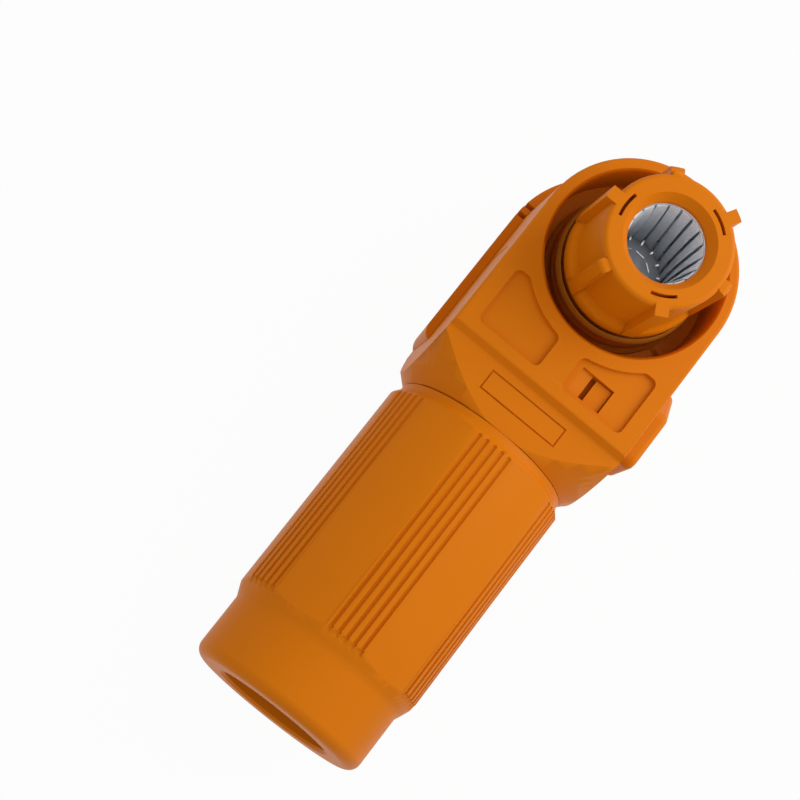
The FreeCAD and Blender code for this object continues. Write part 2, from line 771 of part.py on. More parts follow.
def nut_grooves():
    """Grip grooves, in groups, along the nut."""
    start = Vec(nut_x + groove_start, 0, cable_z + nut_r)
    end = Vec(nut_x + groove_end, 0, cable_z + nut_far_r - groove_sink)
    groove = Part.makeCylinder(groove_r, (end - start).Length, start, end - start)
    groove = groove.fuse(Part.makeSphere(groove_r, start))
    first = -groove_step * (groove_count - 1) / 2
    angles = [360 / group_count * group + first + groove_step * n
              for group in range(group_count) for n in range(groove_count)]
    return ring_of(groove, angles, True)


def nut_panels():
    """What is shaved off between the groups, to leave flatter panels."""
    x0 = nut_x + nut_lip_length
    x1 = nut_x + nut_tail_start
    reach = nut_far_r + 1
    half = math.radians(panel_span / 2)
    wedge = prism([Vec(x0, 0, cable_z),
                   Vec(x0, -reach * math.tan(half), cable_z + reach),
                   Vec(x0, reach * math.tan(half), cable_z + reach)], ALONG_X * (x1 - x0))
    crest = (nut_r + nut_far_r) / 2 - panel_depth
    keep = Part.makeCylinder(panel_r, x1 - x0 + 2, Vec(x0 - 1, 0, cable_z + crest - panel_r),
                             ALONG_X)
    pitch = 360 / group_count
    return ring_of(wedge.cut(keep), [pitch * (n + 0.5) for n in range(group_count)], True)


def make_gland_nut():
    shape = nut_outside().cut(nut_panels())
    shape = shape.cut(nut_grooves())
    bore_x = nut_x + counterbore_length
    inside = turned_on_cable([(nut_x - 1, 0), (nut_x - 1, nut_counterbore_r),
                              (bore_x, nut_counterbore_r), (bore_x, nut_bore_r),
                              (nut_cone_x, nut_bore_r), (exit_x, nut_cone_r), (exit_x, exit_r),
                              (nut_end_x - exit_chamfer, exit_r),
                              (nut_end_x, exit_r + exit_chamfer),
                              (nut_end_x + 1, exit_r + exit_chamfer), (nut_end_x + 1, 0)])
    return shape.cut(inside)


def make_neck_o_ring():
    """Ring of many-sided section, which the nut's counterbore squeezes."""
    x = collar_x + neck_root_length - o_ring_wire - o_ring_back
    half = math.pi / o_ring_sides
    corners = [half * (2 * n + 1) for n in range(o_ring_sides)]
    r = o_ring_wire / math.cos(half)
    return turned_on_cable([(x + r * math.cos(a), neck_root_r + o_ring_wire + r * math.sin(a))
                            for a in corners])


def make_lock_slide():
    """Sprung yoke that straddles the tunnel, with a tooth into the mating opening."""
    shape = box(slide_x0, slide_x1, slide_left_y, slide_right_y, slide_z0, slide_z1)
    foot = box(slide_x0, foot_x1, flush_gap - body_r, slide_left_y,
               slide_z0, slide_z0 + foot_height)
    block = box(block_x0, block_x1, block_y0, block_y1, slide_z1 - 0.5, slide_z1 + block_rise)
    shape = joined([shape, foot, block])
    mark_pocket = box(block_x0, block_x1, block_y0 - mark_width, block_y0,
                      slide_z1 - mark_depth, front_z)
    shape = shape.cut([capsule(disc, slide_clear_r, 0, front_z), mark_pocket])
    arch = capsule(rod, arch_r, 0, collar_x)
    opening = box(0, collar_x, -arch_r, arch_r + travel, slide_z0 - 1, cable_z)
    shape = shape.cut([arch, opening])
    tooth = sector(tooth_r, slide_clear_r + 0.3, tooth_z, tooth_z + tooth_height,
                   tooth_from, tooth_to)
    shape = joined([shape, tooth])
    holes = [Part.makeCylinder(spring_hole_r, spring_hole_end - slide_left_y + 1,
                               Vec(x, slide_left_y - 1, spring_z), ALONG_Y) for x in spring_places]
    return shape.cut(holes).cut(button_pegs(peg_fit))


def button_pegs(gap):
    """Pegs that hold the button on the slide, or with a gap their holes."""
    x = slide_x1 - peg_inset
    return [Part.makeCylinder(peg_r + gap, peg_length + gap + 1,
                              Vec(x, slide_right_y - peg_length - gap, z), ALONG_Y)
            for z in (slide_z0 + peg_inset, slide_z1 - peg_inset)]


def make_release_button():
    face = body_r - flush_gap
    plate = box(slide_x0, slide_x1, slide_right_y, face, slide_z0, slide_z1)
    plate = plate.cut(capsule(disc, slide_clear_r, 0, front_z))
    low = slide_z0 + button_low
    high = low + button_height
    x1 = button_x1
    pad = prism([Vec(button_x0, face - 0.5, low), Vec(x1, face - 0.5, low),
                 Vec(x1, face - 0.5, high), Vec(button_x0 + button_slope, face - 0.5, high),
                 Vec(button_x0, face - 0.5, high - button_slope_drop)],
                ALONG_Y * (button_rise + 0.5))
    pad = fillet(pad, 2 * button_round, lambda b: b.XLength < 0.01 and b.ZLength < 0.01)
    pad = fillet(pad, button_round, lambda b: b.YMin > face + button_rise - 0.01)
    return joined([plate, pad] + button_pegs(0))


def make_return_spring(x):
    """Compression spring of square wire between the body's far wall and the slide."""
    length = spring_hole_end - cavity_left_y - 0.1
    wire_r = spring_wire / 2
    mean_r = spring_hole_r - wire_r - 0.1
    pitch = (length - spring_wire) / spring_turns
    helix = Part.makeHelix(pitch, pitch * spring_turns, mean_r)
    corners = [Vec(mean_r + i * wire_r, 0, j * wire_r)
               for i, j in ((-1, -1), (1, -1), (1, 1), (-1, 1))]
    section = Part.makePolygon(corners + corners[:1])
    shape = Part.Wire(helix.Edges).makePipeShell([section], True, True)
    shape.rotate(Vec(0, 0, 0), ALONG_X, -90)
    shape.translate(Vec(x, cavity_left_y + 0.05 + wire_r, spring_z))
    return shape


def make_return_spring_near():
    return make_return_spring(spring_places[0])


def make_return_spring_far():
    return make_return_spring(spring_places[1])


pieces = {
    "housing": make_housing,
    "rear_cover": make_rear_cover,
    "cover_gasket": make_cover_gasket,
    "crown_insulator": make_crown_insulator,
    "interface_seal": make_interface_seal,
    "socket_contact": make_socket_contact,
    "lamella_cage": make_lamella_cage,
    "crimp_terminal": make_crimp_terminal,
    "terminal_screw": make_terminal_screw,
    "spring_washer": make_spring_washer,
    "barrel_sleeve": make_barrel_sleeve,
    "barrel_bush": make_barrel_bush,
    "cable_seal": make_cable_seal,
    "seal_washer": make_seal_washer,
    "clamp_claw": make_clamp_claw,
    "gland_nut": make_gland_nut,
    "neck_o_ring": make_neck_o_ring,
    "lock_slide": make_lock_slide,
    "release_button": make_release_button,
    "return_spring_near": make_return_spring_near,
    "return_spring_far": make_return_spring_far,
}

os.makedirs("parts", exist_ok=True)
for name, make in pieces.items():
    shape = make()
    shape.exportStep("parts/" + name + ".step")
    print(name, "solids", len(shape.Solids), "valid", shape.isValid(),
          "volume", round(shape.Volume, 1))
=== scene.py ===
import math

import bmesh
import bpy
from mathutils import Matrix, Quaternion, Vector


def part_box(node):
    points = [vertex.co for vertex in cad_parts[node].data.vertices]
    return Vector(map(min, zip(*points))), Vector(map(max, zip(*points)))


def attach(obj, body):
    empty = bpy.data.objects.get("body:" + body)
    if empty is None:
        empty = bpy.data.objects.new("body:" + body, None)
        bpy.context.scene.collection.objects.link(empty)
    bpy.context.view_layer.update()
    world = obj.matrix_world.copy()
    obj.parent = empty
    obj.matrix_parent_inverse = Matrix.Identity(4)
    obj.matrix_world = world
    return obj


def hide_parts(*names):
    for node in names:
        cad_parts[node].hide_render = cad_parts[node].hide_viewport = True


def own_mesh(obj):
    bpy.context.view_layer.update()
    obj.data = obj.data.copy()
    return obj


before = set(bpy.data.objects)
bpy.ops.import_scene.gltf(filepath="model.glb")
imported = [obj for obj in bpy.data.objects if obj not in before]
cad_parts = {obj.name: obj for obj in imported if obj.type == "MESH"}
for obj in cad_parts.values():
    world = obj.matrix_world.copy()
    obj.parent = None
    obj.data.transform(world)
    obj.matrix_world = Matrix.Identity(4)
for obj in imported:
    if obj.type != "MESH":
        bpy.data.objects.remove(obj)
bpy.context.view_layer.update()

bl_info = {
    "name": "Right-angle power plug looks",
    "version": (1, 0, 0),
    "blender": (4, 5, 0),
    "location": "3D view > Sidebar > Plug",
    "description": "Dresses the right-angle plug in moulded plastic, plated metal and rubber",
    "category": "Object",
}

MM = 0.001


def linear(code):
    """Linear colour of an sRGB hex value."""
    channels = [int(code[i:i + 2], 16) / 255 for i in (1, 3, 5)]
    return [c / 12.92 if c <= 0.04045 else ((c + 0.055) / 1.055) ** 2.4 for c in channels]


# Sizes and colours that a user would change


class PlasticSettings(bpy.types.PropertyGroup):
    colour: bpy.props.FloatVectorProperty(
        name="Casing colour", description="Colour of the moulded casing", subtype="COLOR",
        size=3, min=0, max=1, default=linear("#dc7806"))
    shade: bpy.props.FloatVectorProperty(
        name="Flow shade", description="Colour where the melt flowed last", subtype="COLOR",
        size=3, min=0, max=1, default=linear("#d67405"))
    roughness: bpy.props.FloatProperty(
        name="Roughness", description="Roughness of the moulded skin", min=0, max=1,
        subtype="FACTOR", default=0.42)
    grain: bpy.props.FloatProperty(
        name="Mould grain", description="Size of the spark-eroded grain", unit="LENGTH",
        default=0.22 * MM)
    inner: bpy.props.FloatVectorProperty(
        name="Inner plastic", description="Colour of the glass-filled inner parts",
        subtype="COLOR", size=3, min=0, max=1, default=linear("#1b1b1c"))


class MetalSettings(bpy.types.PropertyGroup):
    silver: bpy.props.FloatVectorProperty(
        name="Silver plate", description="Colour of the plated contact", subtype="COLOR",
        size=3, min=0, max=1, default=linear("#f5f9fd"))
    tin: bpy.props.FloatVectorProperty(
        name="Tin plate", description="Colour of the plated terminal", subtype="COLOR",
        size=3, min=0, max=1, default=linear("#c3c4c6"))
    zinc: bpy.props.FloatVectorProperty(
        name="Zinc plate", description="Colour of the plated steel", subtype="COLOR",
        size=3, min=0, max=1, default=linear("#b9bcc1"))
    brush: bpy.props.FloatProperty(
        name="Turning marks", description="Spacing of the turning marks", unit="LENGTH",
        default=0.12 * MM)
    blades: bpy.props.IntProperty(
        name="Blades", description="Number of spring blades in the socket", min=3, default=18)
    blade_width: bpy.props.FloatProperty(
        name="Blade width", description="Width of a spring blade", unit="LENGTH",
        default=1.8 * MM)
    blade_wall: bpy.props.FloatProperty(
        name="Blade wall", description="Thickness of the spring strip", unit="LENGTH",
        default=0.22 * MM)
    blade_sag: bpy.props.FloatProperty(
        name="Blade bow", description="How far a blade bows in towards the pin", unit="LENGTH",
        default=0.55 * MM)
    blade_slew: bpy.props.FloatProperty(
        name="Blade slew", description="Turn of a blade's top against its foot", unit="ROTATION",
        default=math.radians(24))
    blade_tilt: bpy.props.FloatProperty(
        name="Blade tilt", description="Tilt of a blade about its own length", unit="ROTATION",
        default=math.radians(15))


class RubberSettings(bpy.types.PropertyGroup):
    colour: bpy.props.FloatVectorProperty(
        name="Seal colour", description="Colour of the silicone seals", subtype="COLOR",
        size=3, min=0, max=1, default=linear("#af6c14"))
    roughness: bpy.props.FloatProperty(
        name="Roughness", description="Roughness of the seals", min=0, max=1,
        subtype="FACTOR", default=0.62)
    bloom: bpy.props.FloatProperty(
        name="Bloom", description="Size of the dusty patches", unit="LENGTH", default=1.6 * MM)


class StageSettings(bpy.types.PropertyGroup):
    floor: bpy.props.FloatVectorProperty(
        name="Floor", description="Colour of the floor", subtype="COLOR", size=3,
        min=0, max=1, default=linear("#c8c8c8"))
    sky: bpy.props.FloatProperty(
        name="Sky", description="Strength of the even light", min=0, max=5, default=0.64)
    key: bpy.props.FloatProperty(
        name="Key", description="Power of the key lamp", unit="POWER", min=0, default=0.33)
    rim: bpy.props.FloatProperty(
        name="Rim", description="Power of the lamp behind", unit="POWER", min=0, default=0.05)
    lens: bpy.props.FloatProperty(
        name="Lens", description="Focal length in millimetres", unit="CAMERA", default=95.785)


# Sizes of the pieces that are made here

SPRING_WIRE = 0.42 * MM     # thickness of the return springs' wire
SPRING_TURNS = 6
CAGE_WALL = 0.75 * MM       # of the rings at the ends of the spring cage
CAGE_RING = 1.45 * MM       # their height
CAGE_EDGE = 0.2 * MM        # their softened edges
CAGE_END = 0.15 * MM        # from the cage's ends to the blades' ends
FOOT_LEAN = 0.35 * MM       # of a blade's foot in front of its ring
TOP_LEAN = 0.1 * MM         # and of its top
BLADE_STEPS = (6, 30)       # faces across a blade and along it
RING_STEPS = 96             # faces around a ring
COIL_STEPS = 36             # and around one turn of a spring
WIRE_SIDES = 12
FLAT_TILT = math.radians(18)        # of the flats at the socket's foot, towards its axis
# Number, first angle, radius, height, and half sizes outwards, along the ring and up
TABS = (16, math.radians(5.6), 5.9 * MM, 0.45 * MM, (0.5 * MM, 0.13 * MM, 0.1 * MM))
COLLAR = (10, math.radians(-3.8), 4.05 * MM, 0.15 * MM, (0.07 * MM, 0.85 * MM, 0.1 * MM))


# Meshes from the frame

SAME_PLACE = 0.0005 * MM            # points of a copied mesh that are nearer become one
SAME_PLANE = math.radians(0.2)      # faces of a copied mesh that differ by less become one
SKIN_CREASE = math.radians(28)      # edges of a copied mesh that turn by more stay sharp
NEW_CREASE = math.radians(30)       # and edges of a new one
FLAT_WEIGHT = 100


def merged_copy(node, name):
    """A copy of a frame node as one closed surface, with its flat faces whole."""
    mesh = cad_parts[node].data.copy()
    mesh.name = name
    mesh.materials.clear()
    piece = bpy.data.objects.new(name, mesh)
    bpy.context.collection.objects.link(piece)
    shape = bmesh.new()
    shape.from_mesh(mesh)
    bmesh.ops.remove_doubles(shape, verts=shape.verts, dist=SAME_PLACE)
    bmesh.ops.dissolve_degenerate(shape, edges=shape.edges, dist=SAME_PLACE)
    bmesh.ops.dissolve_limit(shape, angle_limit=SAME_PLANE, verts=shape.verts,
                             edges=shape.edges)
    shape.to_mesh(mesh)
    shape.free()
    return piece


def smooth_by_angle(mesh, crease):
    """Shades a mesh smooth, but for edges that turn by more than the crease angle."""
    mesh.polygons.foreach_set("use_smooth", [True] * len(mesh.polygons))
    mesh.set_sharp_from_angle(angle=crease)


def keep_flats_flat(piece):
    """Lets the large flat faces set the normals, so that roundings don't shade into them."""
    normals = piece.modifiers.new("flat faces", "WEIGHTED_NORMAL")
    normals.mode = "FACE_AREA"
    normals.weight = FLAT_WEIGHT
    normals.keep_sharp = True


def dressed(node, material, body):
    """Shows a frame node through a smooth copy of its surface, in the given finish."""
    piece = merged_copy(node, node + "_skin")
    smooth_by_angle(piece.data, SKIN_CREASE)
    keep_flats_flat(piece)
    piece.data.materials.append(material)
    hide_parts(node)
    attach(piece, body)


# Meshes made here


def new_piece(shape, name, material, body):
    """An object from a finished bmesh, smooth but for its sharp edges."""
    mesh = bpy.data.meshes.new(name)
    bmesh.ops.recalc_face_normals(shape, faces=shape.faces)
    shape.to_mesh(mesh)
    shape.free()
    smooth_by_angle(mesh, NEW_CREASE)
    mesh.materials.append(material)
    piece = bpy.data.objects.new(name, mesh)
    bpy.context.collection.objects.link(piece)
    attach(piece, body)
    return piece


def spun_ring(shape, outline):
    """Adds a ring around the Z axis from an outline of radii and heights."""
    verts = [shape.verts.new((r, 0, z)) for r, z in outline]
    edges = [shape.edges.new((verts[n - 1], verts[n])) for n in range(len(verts))]
    bmesh.ops.spin(shape, geom=verts + edges, cent=(0, 0, 0), axis=(0, 0, 1),
                   angle=math.tau, steps=RING_STEPS, use_merge=True)


def wound_wire(wire_r, coil_r, steps, turns=1, rise=0):
    """Round wire wound around the Y axis, with the given steps to a turn: a ring, or with a
    rise a spring that starts at 0."""
    shape = bmesh.new()
    section = bmesh.ops.create_circle(shape, segments=WIRE_SIDES, radius=wire_r)["verts"]
    bmesh.ops.translate(shape, verts=section, vec=(coil_r, 0, 0))
    bmesh.ops.spin(shape, geom=section + list(shape.edges), cent=(0, 0, 0), axis=(0, 1, 0),
                   dvec=(0, rise / (turns * steps), 0), angle=math.tau * turns,
                   steps=turns * steps, use_merge=not rise)
    if rise:
        bmesh.ops.holes_fill(shape, edges=[edge for edge in shape.edges if edge.is_boundary])
    return shape


def return_spring(node):
    """A compression spring of round wire in the place of its node."""
    low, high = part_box(node)
    coil_r = (high.x - low.x - SPRING_WIRE) / 2
    shape = wound_wire(SPRING_WIRE / 2, coil_r, COIL_STEPS, SPRING_TURNS,
                       high.y - low.y - SPRING_WIRE)
    middle = (low + high) / 2
    bmesh.ops.translate(shape, verts=shape.verts,
                        vec=(middle.x, low.y + SPRING_WIRE / 2, middle.z))
    return shape


def neck_ring(node):
    """The ring of round section around the neck, under the nut's skirt."""
    low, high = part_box(node)
    wire_r = (high.x - low.x) / 2
    shape = wound_wire(wire_r, high.y - wire_r, RING_STEPS)
    bmesh.ops.rotate(shape, verts=shape.verts, cent=(0, 0, 0),
                     matrix=Matrix.Rotation(math.radians(90), 3, "Z"))
    bmesh.ops.translate(shape, verts=shape.verts, vec=(low + high) / 2)
    return shape


def spring_blade(shape, foot_r, top_r, low, high):
    """Adds one blade of the cage: a thin strip that bows in, slews and tilts between its ends."""
    metal = bpy.context.scene.plug_metal
    across_steps, along_steps = BLADE_STEPS
    grid = set(bmesh.ops.create_grid(shape, x_segments=across_steps, y_segments=along_steps,
                                     size=1)["verts"])
    for vert in grid:
        across, along = vert.co.x, vert.co.y
        tilt = metal.blade_tilt * (1 - along ** 6)
        aside = across * metal.blade_width / 2
        r = (foot_r + (top_r - foot_r) * (along + 1) / 2
             - metal.blade_sag * (1 - along ** 2) + aside * math.sin(tilt))
        turn = metal.blade_slew * (along - 1) / 2 + aside * math.cos(tilt) / top_r
        vert.co = (r * math.cos(turn), r * math.sin(turn),
                   low + (high - low) * (along + 1) / 2)
    strip = [face for face in shape.faces if face.verts[0] in grid]
    bmesh.ops.recalc_face_normals(shape, faces=strip)
    bmesh.ops.solidify(shape, geom=strip, thickness=metal.blade_wall)


def spring_cage():
    """The socket's cage: a ring at each end and the slewed spring blades between them."""
    metal = bpy.context.scene.plug_metal
    low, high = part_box("lamella_cage")
    outer = high.x
    inner = outer - CAGE_WALL
    shape = bmesh.new()
    spring_blade(shape, inner - FOOT_LEAN, inner - TOP_LEAN, low.z + CAGE_END,
                 high.z - CAGE_END)
    first = list(shape.verts) + list(shape.edges) + list(shape.faces)
    for n in range(1, metal.blades):
        blade = bmesh.ops.duplicate(shape, geom=first)["geom"]
        place = Matrix.Rotation(math.tau * n / metal.blades, 3, "Z")
        bmesh.ops.rotate(shape, verts=[v for v in blade if isinstance(v, bmesh.types.BMVert)],
                         cent=(0, 0, 0), matrix=place)
    soft = inner + CAGE_EDGE
    for foot, top in ((low.z, low.z + CAGE_RING), (high.z - CAGE_RING, high.z)):
        spun_ring(shape, [(soft, foot), (outer, foot), (outer, top), (soft, top),
                          (inner, top - CAGE_EDGE), (inner, foot + CAGE_EDGE)])
    return shape


def foot_flats():
    """The small flats at the socket's foot that send the light from its opening back out: the
    bent tabs on which the cage stands, and the collar's flats round the middle."""
    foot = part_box("lamella_cage")[0].z
    shape = bmesh.new()
    for count, first, r, rise, half in (TABS, COLLAR):
        for n in range(count):
            place = (Matrix.Rotation(math.tau * n / count + first, 4, "Z")
                     @ Matrix.Translation((r, 0, foot + rise))
                     @ Matrix.Rotation(-FLAT_TILT, 4, "Y") @ Matrix.Diagonal((*half, 1)))
            bmesh.ops.create_cube(shape, size=2, matrix=place)
    return shape


# Materials

POLYAMIDE_IOR = 1.53
SILICONE_IOR = 1.43
AROUND_Z = (0.08, 0.08, 1.0)        # stretches a pattern so that its marks run around this axis
AROUND_X = (1.0, 0.08, 0.08)
ALONG_Z = (1.0, 1.0, 0.04)          # or along it
SOCKET_PAINTED_SHADE = (27.5 * MM, 29.6 * MM)     # heights between which the painted shade deep in the socket fades out
# and the heights of the painted shade down the spring blades, darker towards their feet
BLADE_PAINTED_SHADE = (22 * MM, 37 * MM)
PAINTED_SHADE_KEEP = 0.6                       # what the painted shade leaves of the metal's colour at its darkest
WORN = 0.93                         # and what dull patches leave of it


def add(tree, kind, values=None, links=None, **settings):
    """Adds a node with its settings, its values and what feeds it."""
    node = tree.nodes.new(kind)
    for key, value in settings.items():
        setattr(node, key, value)
    for key, value in (values or {}).items():
        node.inputs[key].default_value = value
    for key, socket in (links or {}).items():
        tree.links.new(socket, node.inputs[key])
    return node


def new_material(name):
    """A material without nodes, and the tree that takes them."""
    material = bpy.data.materials.new(name)
    material.use_nodes = True
    tree = material.node_tree
    tree.nodes.clear()
    return material, tree


def finish_material(tree, shader):
    """Shows the shader on the surface."""
    add(tree, "ShaderNodeOutputMaterial", links={"Surface": shader.outputs[0]})


def per_metre(size):
    """Texture scale whose pattern repeats once in the given size."""
    return 1 / size


def moulded_polyamide():
    """Orange glass-filled polyamide from a spark-eroded mould: a satin skin, with a fine grain
    and faint clouds where the melt flowed."""
    settings = bpy.context.scene.plug_plastic
    cloud_size = 16 * MM
    skin_gloss = 0.07
    material, tree = new_material("moulded_polyamide_orange")
    place = add(tree, "ShaderNodeTexCoord").outputs["Object"]
    clouds = add(tree, "ShaderNodeTexNoise", {"Scale": per_metre(cloud_size), "Detail": 3.0},
                 {"Vector": place})
    tint = add(tree, "ShaderNodeMix", {"A": [*settings.colour, 1], "B": [*settings.shade, 1]},
               {"Factor": clouds.outputs["Fac"]}, data_type="RGBA")
    grain = add(tree, "ShaderNodeTexNoise", {"Scale": per_metre(settings.grain), "Detail": 4.0},
                {"Vector": place})
    rough = add(tree, "ShaderNodeMapRange",
                {"To Min": settings.roughness - 0.05, "To Max": settings.roughness + 0.07},
                {"Value": grain.outputs["Fac"]})
    bump = add(tree, "ShaderNodeBump", {"Strength": 0.16, "Distance": 0.02 * MM},
               {"Height": grain.outputs["Fac"]})
    shader = add(tree, "ShaderNodeBsdfPrincipled",
                 {"IOR": POLYAMIDE_IOR, "Specular IOR Level": skin_gloss},
                 {"Base Color": tint.outputs["Result"], "Roughness": rough.outputs["Result"],
                  "Normal": bump.outputs["Normal"]})
    finish_material(tree, shader)
    return material


def black_polyamide():
    """Black glass-filled polyamide for the inner parts: matt, with short pale fibre flecks."""
    settings = bpy.context.scene.plug_plastic
    fibre = 0.3 * MM
    paler = 1.8
    material, tree = new_material("glass_filled_polyamide_black")
    place = add(tree, "ShaderNodeTexCoord").outputs["Object"]
    flecks = add(tree, "ShaderNodeTexNoise", {"Scale": per_metre(fibre), "Detail": 5.0},
                 {"Vector": place})
    tint = add(tree, "ShaderNodeMix",
               {"A": [*settings.inner, 1], "B": [c * paler for c in settings.inner] + [1]},
               {"Factor": flecks.outputs["Fac"]}, data_type="RGBA")
    bump = add(tree, "ShaderNodeBump", {"Strength": 0.2, "Distance": 0.02 * MM},
               {"Height": flecks.outputs["Fac"]})
    shader = add(tree, "ShaderNodeBsdfPrincipled", {"Roughness": 0.55, "IOR": POLYAMIDE_IOR},
                 {"Base Color": tint.outputs["Result"], "Normal": bump.outputs["Normal"]})
    finish_material(tree, shader)
    return material


def plated_metal(name, colour, rough, stretch, dark_z=None):
    """Turned or rolled, then plated copper alloy or steel: fine marks that run the way in which
    stretch is small, and a thin plating that dulls a little in patches. Towards the lower of
    the two heights dark_z the colour is darkened: painted shade for the deep socket, where
    little light reaches."""
    settings = bpy.context.scene.plug_metal
    patch_size = 4 * MM
    material, tree = new_material(name)
    place = add(tree, "ShaderNodeTexCoord").outputs["Object"]
    along = add(tree, "ShaderNodeMapping", {"Scale": stretch}, {"Vector": place})
    marks = add(tree, "ShaderNodeTexNoise",
                {"Scale": per_metre(settings.brush), "Detail": 2.0},
                {"Vector": along.outputs["Vector"]})
    patches = add(tree, "ShaderNodeTexNoise", {"Scale": per_metre(patch_size), "Detail": 3.0},
                  {"Vector": place})
    dull = add(tree, "ShaderNodeMapRange", {"To Min": rough - 0.06, "To Max": rough + 0.08},
               {"Value": patches.outputs["Fac"]})
    tint = add(tree, "ShaderNodeMix",
               {"A": [*colour, 1], "B": [c * WORN for c in colour] + [1]},
               {"Factor": patches.outputs["Fac"]}, data_type="RGBA")
    streaks = add(tree, "ShaderNodeMapRange", {"From Min": 0.35, "From Max": 0.65,
                                               "To Min": 0.9, "To Max": 1.0},
                  {"Value": marks.outputs["Fac"]})
    colour = add(tree, "ShaderNodeMix", {"Factor": 1.0},
                 {"A": tint.outputs["Result"], "B": streaks.outputs["Result"]},
                 data_type="RGBA", blend_type="MULTIPLY")
    # painted shade: the colour darkens towards the lower height, deep in the socket where little
    # light gets in
    if dark_z:
        dark, bright = dark_z
        height = add(tree, "ShaderNodeSeparateXYZ", links={0: place})
        painted_shade = add(tree, "ShaderNodeMapRange",
                    {"From Min": dark, "From Max": bright, "To Min": PAINTED_SHADE_KEEP, "To Max": 1.0},
                    {"Value": height.outputs["Z"]}, interpolation_type="SMOOTHSTEP")
        colour = add(tree, "ShaderNodeMix", {"Factor": 1.0},
                     {"A": colour.outputs["Result"], "B": painted_shade.outputs["Result"]},
                     data_type="RGBA", blend_type="MULTIPLY")
    bump = add(tree, "ShaderNodeBump", {"Strength": 0.12, "Distance": 0.01 * MM},
               {"Height": marks.outputs["Fac"]})
    shader = add(tree, "ShaderNodeBsdfPrincipled", {"Metallic": 1.0},
                 {"Base Color": colour.outputs["Result"], "Roughness": dull.outputs["Result"],
                  "Normal": bump.outputs["Normal"]})
    finish_material(tree, shader)
    return material


def silicone_rubber():
    """Moulded silicone: soft and matt, with dusty patches where it was handled."""
    settings = bpy.context.scene.plug_rubber
    dustier = 1.25
    material, tree = new_material("silicone_rubber_seal")
    place = add(tree, "ShaderNodeTexCoord").outputs["Object"]
    bloom = add(tree, "ShaderNodeTexNoise", {"Scale": per_metre(settings.bloom), "Detail": 5.0},
                {"Vector": place})
    tint = add(tree, "ShaderNodeMix",
               {"A": [*settings.colour, 1], "B": [c * dustier for c in settings.colour] + [1]},
               {"Factor": bloom.outputs["Fac"]}, data_type="RGBA")
    bump = add(tree, "ShaderNodeBump", {"Strength": 0.15, "Distance": 0.03 * MM},
               {"Height": bloom.outputs["Fac"]})
    shader = add(tree, "ShaderNodeBsdfPrincipled",
                 {"Roughness": settings.roughness, "IOR": SILICONE_IOR},
                 {"Base Color": tint.outputs["Result"], "Normal": bump.outputs["Normal"]})
    finish_material(tree, shader)
    return material


# Stage

AIM = Vector((42.546, -16.247, 35.0)) * MM      # where the camera's axis meets the front face
CAMERA_AZIMUTH = math.radians(-14.986)
CAMERA_ELEVATION = math.radians(75.813)
CAMERA_ROLL = math.radians(53.925)
CAMERA_DISTANCE = 332.61 * MM
SENSOR_WIDTH = 36                   # in the camera's own millimetres, as the lens is
NEAREST = 10 * MM
FLOOR_HALF = 3000 * MM
FLOOR_GAP = 0.05 * MM               # from the underside of the plug to the floor
FLOOR_LIFT = 0.96                   # how white the camera sees the floor
LAMP_AIM = Vector((30, 0, 20)) * MM
KEY_PLACE = Vector((-100, 130, 170)) * MM
KEY_SIZE = 240 * MM
RIM_PLACE = Vector((0, -450, 120)) * MM
RIM_SIZE = 200 * MM


def camera_only(tree):
    """1 for rays from the camera or by way of metal and glass, and 0 for the light on things."""
    path = add(tree, "ShaderNodeLightPath")
    either = add(tree, "ShaderNodeMath", links={0: path.outputs["Is Camera Ray"],
                                                1: path.outputs["Is Glossy Ray"]},
                 operation="MAXIMUM")
    return add(tree, "ShaderNodeMath", links={0: either.outputs[0],
                                              1: path.outputs["Is Transmission Ray"]},
               operation="MAXIMUM").outputs[0]


def make_floor():
    """A wide matt floor that the camera sees as nearly white, with the plug's shadow on it."""
    settings = bpy.context.scene.plug_stage
    mesh = bpy.data.meshes.new("floor")
    shape = bmesh.new()
    bmesh.ops.create_grid(shape, x_segments=1, y_segments=1, size=FLOOR_HALF)
    bmesh.ops.translate(shape, verts=shape.verts, vec=(0, 0, -FLOOR_GAP))
    shape.to_mesh(mesh)
    shape.free()
    floor = bpy.data.objects.new("floor", mesh)
    bpy.context.collection.objects.link(floor)
    material, tree = new_material("studio_floor")
    matt = add(tree, "ShaderNodeBsdfDiffuse", {"Color": [*settings.floor, 1]})
    glow = add(tree, "ShaderNodeEmission", {"Color": [1, 1, 1, 1], "Strength": 1.0})
    lift = add(tree, "ShaderNodeMath", {1: FLOOR_LIFT}, {0: camera_only(tree)},
               operation="MULTIPLY")
    mixed = add(tree, "ShaderNodeMixShader", links={0: lift.outputs[0], 1: matt.outputs[0],
                                                    2: glow.outputs[0]})
    finish_material(tree, mixed)
    mesh.materials.append(material)


def make_sky():
    """Even light from all sides, in front of a white background."""
    settings = bpy.context.scene.plug_stage
    world = bpy.data.worlds.new("studio")
    bpy.context.scene.world = world
    world.use_nodes = True
    tree = world.node_tree
    tree.nodes.clear()
    strength = add(tree, "ShaderNodeMapRange", {"To Min": settings.sky, "To Max": 1.0},
                   {"Value": camera_only(tree)})
    sky = add(tree, "ShaderNodeBackground", {"Color": [1, 1, 1, 1]},
              {"Strength": strength.outputs["Result"]})
    add(tree, "ShaderNodeOutputWorld", links={"Surface": sky.outputs[0]})


def make_lamp(name, place, size, power):
    """A round lamp that points at the plug."""
    lamp = bpy.data.lights.new(name, "AREA")
    lamp.shape = "DISK"
    lamp.size = size
    lamp.energy = power
    holder = bpy.data.objects.new(name, lamp)
    bpy.context.collection.objects.link(holder)
    holder.location = place
    holder.rotation_euler = (LAMP_AIM - place).to_track_quat("-Z", "Y").to_euler()


